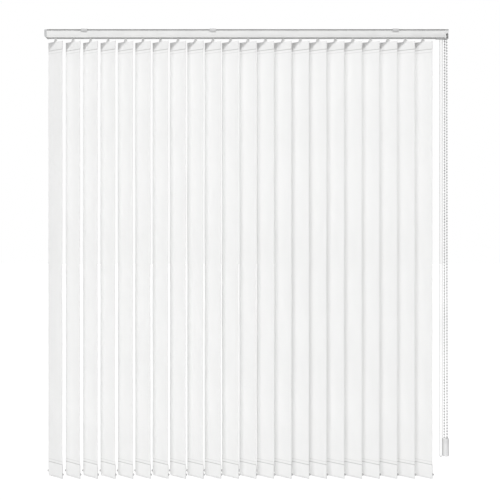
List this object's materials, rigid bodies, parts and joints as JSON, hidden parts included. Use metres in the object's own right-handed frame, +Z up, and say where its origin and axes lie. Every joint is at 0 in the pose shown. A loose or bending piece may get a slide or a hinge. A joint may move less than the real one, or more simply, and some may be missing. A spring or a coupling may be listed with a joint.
{
  "type": "vertical blind",
  "caption": "White vertical blind: fabric vanes hang from travelling carriers in a slotted headrail, tilted by a bead chain and drawn by a cord.",
  "frame": {"origin": "middle of the ceiling face of the middle bracket, between its two screw holes", "axes": "+X along the rail towards the control end, -Y towards the room, +Z up"},
  "size_m": [1.685, 0.0652, 1.8685],
  "materials": {
    "rail_paint": "satin white powder coat",
    "bracket_paint": "satin white paint",
    "cap_plastic": "moulded, light grey",
    "control_plastic": "moulded, off white",
    "carrier_plastic": "moulded acetal, white",
    "rod_metal": "drawn, fluted",
    "chain_plastic": "moulded beads",
    "weight_plastic": "moulded, off white",
    "cord_braid": "braided white cord",
    "vane_fabric": "woven white polyester"
  },
  "bodies": {
    "rail": {"headrail": "rail_paint", "idle_end_cap": "cap_plastic", "control_housing": "control_plastic", "control_cover": "control_plastic", "bracket_left_clip": "bracket_paint", "bracket_middle_clip": "bracket_paint", "bracket_right_clip": "bracket_paint", "control_chain": "chain_plastic", "chain_weight": "weight_plastic", "traverse_cord": "cord_braid", "draw_cord": "cord_braid", "carrier_22": "carrier_plastic"},
    "tilt_drive": {"tilt_rod": "rod_metal", "chain_sprocket": "carrier_plastic"},
    "return_pulley": {"return_pulley": "carrier_plastic"},
    "cord_pulley_front": {"cord_pulley_front": "carrier_plastic"},
    "cord_pulley_rear": {"cord_pulley_rear": "carrier_plastic"},
    "carrier_01": {"carrier_01": "carrier_plastic"},
    "carrier_02": {"carrier_02": "carrier_plastic"},
    "carrier_03": {"carrier_03": "carrier_plastic"},
    "carrier_04": {"carrier_04": "carrier_plastic"},
    "carrier_05": {"carrier_05": "carrier_plastic"},
    "carrier_06": {"carrier_06": "carrier_plastic"},
    "carrier_07": {"carrier_07": "carrier_plastic"},
    "carrier_08": {"carrier_08": "carrier_plastic"},
    "carrier_09": {"carrier_09": "carrier_plastic"},
    "carrier_10": {"carrier_10": "carrier_plastic"},
    "carrier_11": {"carrier_11": "carrier_plastic"},
    "carrier_12": {"carrier_12": "carrier_plastic"},
    "carrier_13": {"carrier_13": "carrier_plastic"},
    "carrier_14": {"carrier_14": "carrier_plastic"},
    "carrier_15": {"carrier_15": "carrier_plastic"},
    "carrier_16": {"carrier_16": "carrier_plastic"},
    "carrier_17": {"carrier_17": "carrier_plastic"},
    "carrier_18": {"carrier_18": "carrier_plastic"},
    "carrier_19": {"carrier_19": "carrier_plastic"},
    "carrier_20": {"carrier_20": "carrier_plastic"},
    "carrier_21": {"carrier_21": "carrier_plastic"},
    "vane_01": {"vane_01": "vane_fabric"},
    "vane_02": {"vane_02": "vane_fabric"},
    "vane_03": {"vane_03": "vane_fabric"},
    "vane_04": {"vane_04": "vane_fabric"},
    "vane_05": {"vane_05": "vane_fabric"},
    "vane_06": {"vane_06": "vane_fabric"},
    "vane_07": {"vane_07": "vane_fabric"},
    "vane_08": {"vane_08": "vane_fabric"},
    "vane_09": {"vane_09": "vane_fabric"},
    "vane_10": {"vane_10": "vane_fabric"},
    "vane_11": {"vane_11": "vane_fabric"},
    "vane_12": {"vane_12": "vane_fabric"},
    "vane_13": {"vane_13": "vane_fabric"},
    "vane_14": {"vane_14": "vane_fabric"},
    "vane_15": {"vane_15": "vane_fabric"},
    "vane_16": {"vane_16": "vane_fabric"},
    "vane_17": {"vane_17": "vane_fabric"},
    "vane_18": {"vane_18": "vane_fabric"},
    "vane_19": {"vane_19": "vane_fabric"},
    "vane_20": {"vane_20": "vane_fabric"},
    "vane_21": {"vane_21": "vane_fabric"},
    "vane_22": {"vane_22": "vane_fabric"}
  },
  "joints": [
    {"name": "traverse_01", "type": "slide", "parent": "rail", "child": "carrier_01", "axis": [1, 0, 0], "range_m": [0, 1.197]},
    {"name": "traverse_02", "type": "slide", "parent": "rail", "child": "carrier_02", "axis": [1, 0, 0], "range_m": [0, 1.14]},
    {"name": "traverse_03", "type": "slide", "parent": "rail", "child": "carrier_03", "axis": [1, 0, 0], "range_m": [0, 1.083]},
    {"name": "traverse_04", "type": "slide", "parent": "rail", "child": "carrier_04", "axis": [1, 0, 0], "range_m": [0, 1.026]},
    {"name": "traverse_05", "type": "slide", "parent": "rail", "child": "carrier_05", "axis": [1, 0, 0], "range_m": [0, 0.969]},
    {"name": "traverse_06", "type": "slide", "parent": "rail", "child": "carrier_06", "axis": [1, 0, 0], "range_m": [0, 0.912]},
    {"name": "traverse_07", "type": "slide", "parent": "rail", "child": "carrier_07", "axis": [1, 0, 0], "range_m": [0, 0.855]},
    {"name": "traverse_08", "type": "slide", "parent": "rail", "child": "carrier_08", "axis": [1, 0, 0], "range_m": [0, 0.798]},
    {"name": "traverse_09", "type": "slide", "parent": "rail", "child": "carrier_09", "axis": [1, 0, 0], "range_m": [0, 0.741]},
    {"name": "traverse_10", "type": "slide", "parent": "rail", "child": "carrier_10", "axis": [1, 0, 0], "range_m": [0, 0.684]},
    {"name": "traverse_11", "type": "slide", "parent": "rail", "child": "carrier_11", "axis": [1, 0, 0], "range_m": [0, 0.627]},
    {"name": "traverse_12", "type": "slide", "parent": "rail", "child": "carrier_12", "axis": [1, 0, 0], "range_m": [0, 0.57]},
    {"name": "traverse_13", "type": "slide", "parent": "rail", "child": "carrier_13", "axis": [1, 0, 0], "range_m": [0, 0.513]},
    {"name": "traverse_14", "type": "slide", "parent": "rail", "child": "carrier_14", "axis": [1, 0, 0], "range_m": [0, 0.456]},
    {"name": "traverse_15", "type": "slide", "parent": "rail", "child": "carrier_15", "axis": [1, 0, 0], "range_m": [0, 0.399]},
    {"name": "traverse_16", "type": "slide", "parent": "rail", "child": "carrier_16", "axis": [1, 0, 0], "range_m": [0, 0.342]},
    {"name": "traverse_17", "type": "slide", "parent": "rail", "child": "carrier_17", "axis": [1, 0, 0], "range_m": [0, 0.285]},
    {"name": "traverse_18", "type": "slide", "parent": "rail", "child": "carrier_18", "axis": [1, 0, 0], "range_m": [0, 0.228]},
    {"name": "traverse_19", "type": "slide", "parent": "rail", "child": "carrier_19", "axis": [1, 0, 0], "range_m": [0, 0.171]},
    {"name": "traverse_20", "type": "slide", "parent": "rail", "child": "carrier_20", "axis": [1, 0, 0], "range_m": [0, 0.114]},
    {"name": "traverse_21", "type": "slide", "parent": "rail", "child": "carrier_21", "axis": [1, 0, 0], "range_m": [0, 0.057]},
    {"name": "vane_tilt_01", "type": "hinge", "parent": "carrier_01", "child": "vane_01", "pos_m": [-0.657, 0, -0.0515], "axis": [0, 0, -1], "range_deg": [-26.5, 129.5]},
    {"name": "vane_tilt_02", "type": "hinge", "parent": "carrier_02", "child": "vane_02", "pos_m": [-0.584, 0, -0.0515], "axis": [0, 0, -1], "range_deg": [-26.5, 129.5]},
    {"name": "vane_tilt_03", "type": "hinge", "parent": "carrier_03", "child": "vane_03", "pos_m": [-0.511, 0, -0.0515], "axis": [0, 0, -1], "range_deg": [-26.5, 129.5]},
    {"name": "vane_tilt_04", "type": "hinge", "parent": "carrier_04", "child": "vane_04", "pos_m": [-0.438, 0, -0.0515], "axis": [0, 0, -1], "range_deg": [-26.5, 129.5]},
    {"name": "vane_tilt_05", "type": "hinge", "parent": "carrier_05", "child": "vane_05", "pos_m": [-0.365, 0, -0.0515], "axis": [0, 0, -1], "range_deg": [-26.5, 129.5]},
    {"name": "vane_tilt_06", "type": "hinge", "parent": "carrier_06", "child": "vane_06", "pos_m": [-0.292, 0, -0.0515], "axis": [0, 0, -1], "range_deg": [-26.5, 129.5]},
    {"name": "vane_tilt_07", "type": "hinge", "parent": "carrier_07", "child": "vane_07", "pos_m": [-0.219, 0, -0.0515], "axis": [0, 0, -1], "range_deg": [-26.5, 129.5]},
    {"name": "vane_tilt_08", "type": "hinge", "parent": "carrier_08", "child": "vane_08", "pos_m": [-0.146, 0, -0.0515], "axis": [0, 0, -1], "range_deg": [-26.5, 129.5]},
    {"name": "vane_tilt_09", "type": "hinge", "parent": "carrier_09", "child": "vane_09", "pos_m": [-0.073, 0, -0.0515], "axis": [0, 0, -1], "range_deg": [-26.5, 129.5]},
    {"name": "vane_tilt_10", "type": "hinge", "parent": "carrier_10", "child": "vane_10", "pos_m": [0, 0, -0.0515], "axis": [0, 0, -1], "range_deg": [-26.5, 129.5]},
    {"name": "vane_tilt_11", "type": "hinge", "parent": "carrier_11", "child": "vane_11", "pos_m": [0.073, 0, -0.0515], "axis": [0, 0, -1], "range_deg": [-26.5, 129.5]},
    {"name": "vane_tilt_12", "type": "hinge", "parent": "carrier_12", "child": "vane_12", "pos_m": [0.146, 0, -0.0515], "axis": [0, 0, -1], "range_deg": [-26.5, 129.5]},
    {"name": "vane_tilt_13", "type": "hinge", "parent": "carrier_13", "child": "vane_13", "pos_m": [0.219, 0, -0.0515], "axis": [0, 0, -1], "range_deg": [-26.5, 129.5]},
    {"name": "vane_tilt_14", "type": "hinge", "parent": "carrier_14", "child": "vane_14", "pos_m": [0.292, 0, -0.0515], "axis": [0, 0, -1], "range_deg": [-26.5, 129.5]},
    {"name": "vane_tilt_15", "type": "hinge", "parent": "carrier_15", "child": "vane_15", "pos_m": [0.365, 0, -0.0515], "axis": [0, 0, -1], "range_deg": [-26.5, 129.5]},
    {"name": "vane_tilt_16", "type": "hinge", "parent": "carrier_16", "child": "vane_16", "pos_m": [0.438, 0, -0.0515], "axis": [0, 0, -1], "range_deg": [-26.5, 129.5]},
    {"name": "vane_tilt_17", "type": "hinge", "parent": "carrier_17", "child": "vane_17", "pos_m": [0.511, 0, -0.0515], "axis": [0, 0, -1], "range_deg": [-26.5, 129.5]},
    {"name": "vane_tilt_18", "type": "hinge", "parent": "carrier_18", "child": "vane_18", "pos_m": [0.584, 0, -0.0515], "axis": [0, 0, -1], "range_deg": [-26.5, 129.5]},
    {"name": "vane_tilt_19", "type": "hinge", "parent": "carrier_19", "child": "vane_19", "pos_m": [0.657, 0, -0.0515], "axis": [0, 0, -1], "range_deg": [-26.5, 129.5]},
    {"name": "vane_tilt_20", "type": "hinge", "parent": "carrier_20", "child": "vane_20", "pos_m": [0.73, 0, -0.0515], "axis": [0, 0, -1], "range_deg": [-26.5, 129.5]},
    {"name": "vane_tilt_21", "type": "hinge", "parent": "carrier_21", "child": "vane_21", "pos_m": [0.803, 0, -0.0515], "axis": [0, 0, -1], "range_deg": [-26.5, 129.5]},
    {"name": "vane_tilt_22", "type": "hinge", "parent": "rail", "child": "vane_22", "pos_m": [0.876, 0, -0.0515], "axis": [0, 0, -1], "range_deg": [-26.5, 129.5]},
    {"name": "tilt_rod_turn", "type": "hinge", "parent": "rail", "child": "tilt_drive", "pos_m": [0, 0, -0.0195], "axis": [1, 0, 0], "range_deg": [-212, 1036]},
    {"name": "return_pulley_turn", "type": "hinge", "parent": "rail", "child": "return_pulley", "pos_m": [-0.675, 0, -0.008], "axis": [0, 0, 1], "continuous": true},
    {"name": "cord_pulley_front_turn", "type": "hinge", "parent": "rail", "child": "cord_pulley_front", "pos_m": [0.94, -0.0054, -0.014], "axis": [0, 1, 0], "continuous": true},
    {"name": "cord_pulley_rear_turn", "type": "hinge", "parent": "rail", "child": "cord_pulley_rear", "pos_m": [0.952, 0.0054, -0.014], "axis": [0, 1, 0], "continuous": true}
  ],
  "couplings": [
    {"joint": "traverse_02", "follows": "traverse_01", "ratio": 0.95238},
    {"joint": "traverse_03", "follows": "traverse_01", "ratio": 0.90476},
    {"joint": "traverse_04", "follows": "traverse_01", "ratio": 0.85714},
    {"joint": "traverse_05", "follows": "traverse_01", "ratio": 0.80952},
    {"joint": "traverse_06", "follows": "traverse_01", "ratio": 0.7619},
    {"joint": "traverse_07", "follows": "traverse_01", "ratio": 0.71429},
    {"joint": "traverse_08", "follows": "traverse_01", "ratio": 0.66667},
    {"joint": "traverse_09", "follows": "traverse_01", "ratio": 0.61905},
    {"joint": "traverse_10", "follows": "traverse_01", "ratio": 0.57143},
    {"joint": "traverse_11", "follows": "traverse_01", "ratio": 0.52381},
    {"joint": "traverse_12", "follows": "traverse_01", "ratio": 0.47619},
    {"joint": "traverse_13", "follows": "traverse_01", "ratio": 0.42857},
    {"joint": "traverse_14", "follows": "traverse_01", "ratio": 0.38095},
    {"joint": "traverse_15", "follows": "traverse_01", "ratio": 0.33333},
    {"joint": "traverse_16", "follows": "traverse_01", "ratio": 0.28571},
    {"joint": "traverse_17", "follows": "traverse_01", "ratio": 0.2381},
    {"joint": "traverse_18", "follows": "traverse_01", "ratio": 0.19048},
    {"joint": "traverse_19", "follows": "traverse_01", "ratio": 0.14286},
    {"joint": "traverse_20", "follows": "traverse_01", "ratio": 0.095238},
    {"joint": "traverse_21", "follows": "traverse_01", "ratio": 0.047619},
    {"joint": "vane_tilt_01", "follows": "vane_tilt_22", "ratio": 1},
    {"joint": "vane_tilt_02", "follows": "vane_tilt_22", "ratio": 1},
    {"joint": "vane_tilt_03", "follows": "vane_tilt_22", "ratio": 1},
    {"joint": "vane_tilt_04", "follows": "vane_tilt_22", "ratio": 1},
    {"joint": "vane_tilt_05", "follows": "vane_tilt_22", "ratio": 1},
    {"joint": "vane_tilt_06", "follows": "vane_tilt_22", "ratio": 1},
    {"joint": "vane_tilt_07", "follows": "vane_tilt_22", "ratio": 1},
    {"joint": "vane_tilt_08", "follows": "vane_tilt_22", "ratio": 1},
    {"joint": "vane_tilt_09", "follows": "vane_tilt_22", "ratio": 1},
    {"joint": "vane_tilt_10", "follows": "vane_tilt_22", "ratio": 1},
    {"joint": "vane_tilt_11", "follows": "vane_tilt_22", "ratio": 1},
    {"joint": "vane_tilt_12", "follows": "vane_tilt_22", "ratio": 1},
    {"joint": "vane_tilt_13", "follows": "vane_tilt_22", "ratio": 1},
    {"joint": "vane_tilt_14", "follows": "vane_tilt_22", "ratio": 1},
    {"joint": "vane_tilt_15", "follows": "vane_tilt_22", "ratio": 1},
    {"joint": "vane_tilt_16", "follows": "vane_tilt_22", "ratio": 1},
    {"joint": "vane_tilt_17", "follows": "vane_tilt_22", "ratio": 1},
    {"joint": "vane_tilt_18", "follows": "vane_tilt_22", "ratio": 1},
    {"joint": "vane_tilt_19", "follows": "vane_tilt_22", "ratio": 1},
    {"joint": "vane_tilt_20", "follows": "vane_tilt_22", "ratio": 1},
    {"joint": "vane_tilt_21", "follows": "vane_tilt_22", "ratio": 1},
    {"joint": "tilt_rod_turn", "follows": "vane_tilt_22", "ratio": 8},
    {"joint": "return_pulley_turn", "follows": "traverse_01", "rad_per_m": 185.19},
    {"joint": "cord_pulley_front_turn", "follows": "traverse_01", "rad_per_m": 166.67},
    {"joint": "cord_pulley_rear_turn", "follows": "traverse_01", "rad_per_m": -166.67}
  ]
}
